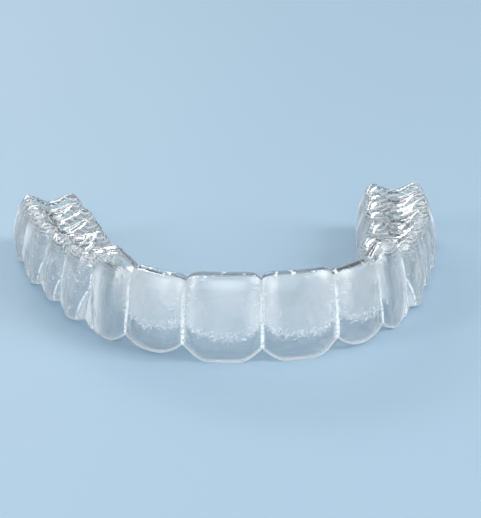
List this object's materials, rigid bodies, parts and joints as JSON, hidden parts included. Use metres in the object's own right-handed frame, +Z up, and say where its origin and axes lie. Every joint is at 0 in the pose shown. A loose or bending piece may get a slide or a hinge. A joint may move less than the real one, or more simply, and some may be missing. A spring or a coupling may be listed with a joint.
{
  "type": "clear aligner",
  "caption": "Thin clear plastic shell shaped over the crowns of an upper dental arch, open underneath, with a scalloped trimmed edge that it rests on.",
  "frame": {"origin": "middle of the outline seen from above, on the surface that the trimmed edge rests on", "axes": "+Z up through the biting faces, +X across the mouth from one arm to the other, -Y out past the front teeth"},
  "size_m": [0.0616, 0.049, 0.0112],
  "materials": {
    "clear_sheet": "clear, colourless and glossy, thermoformed, with fine raised lines"
  },
  "bodies": {
    "root": {"aligner_shell": "clear_sheet"}
  },
  "joints": []
}
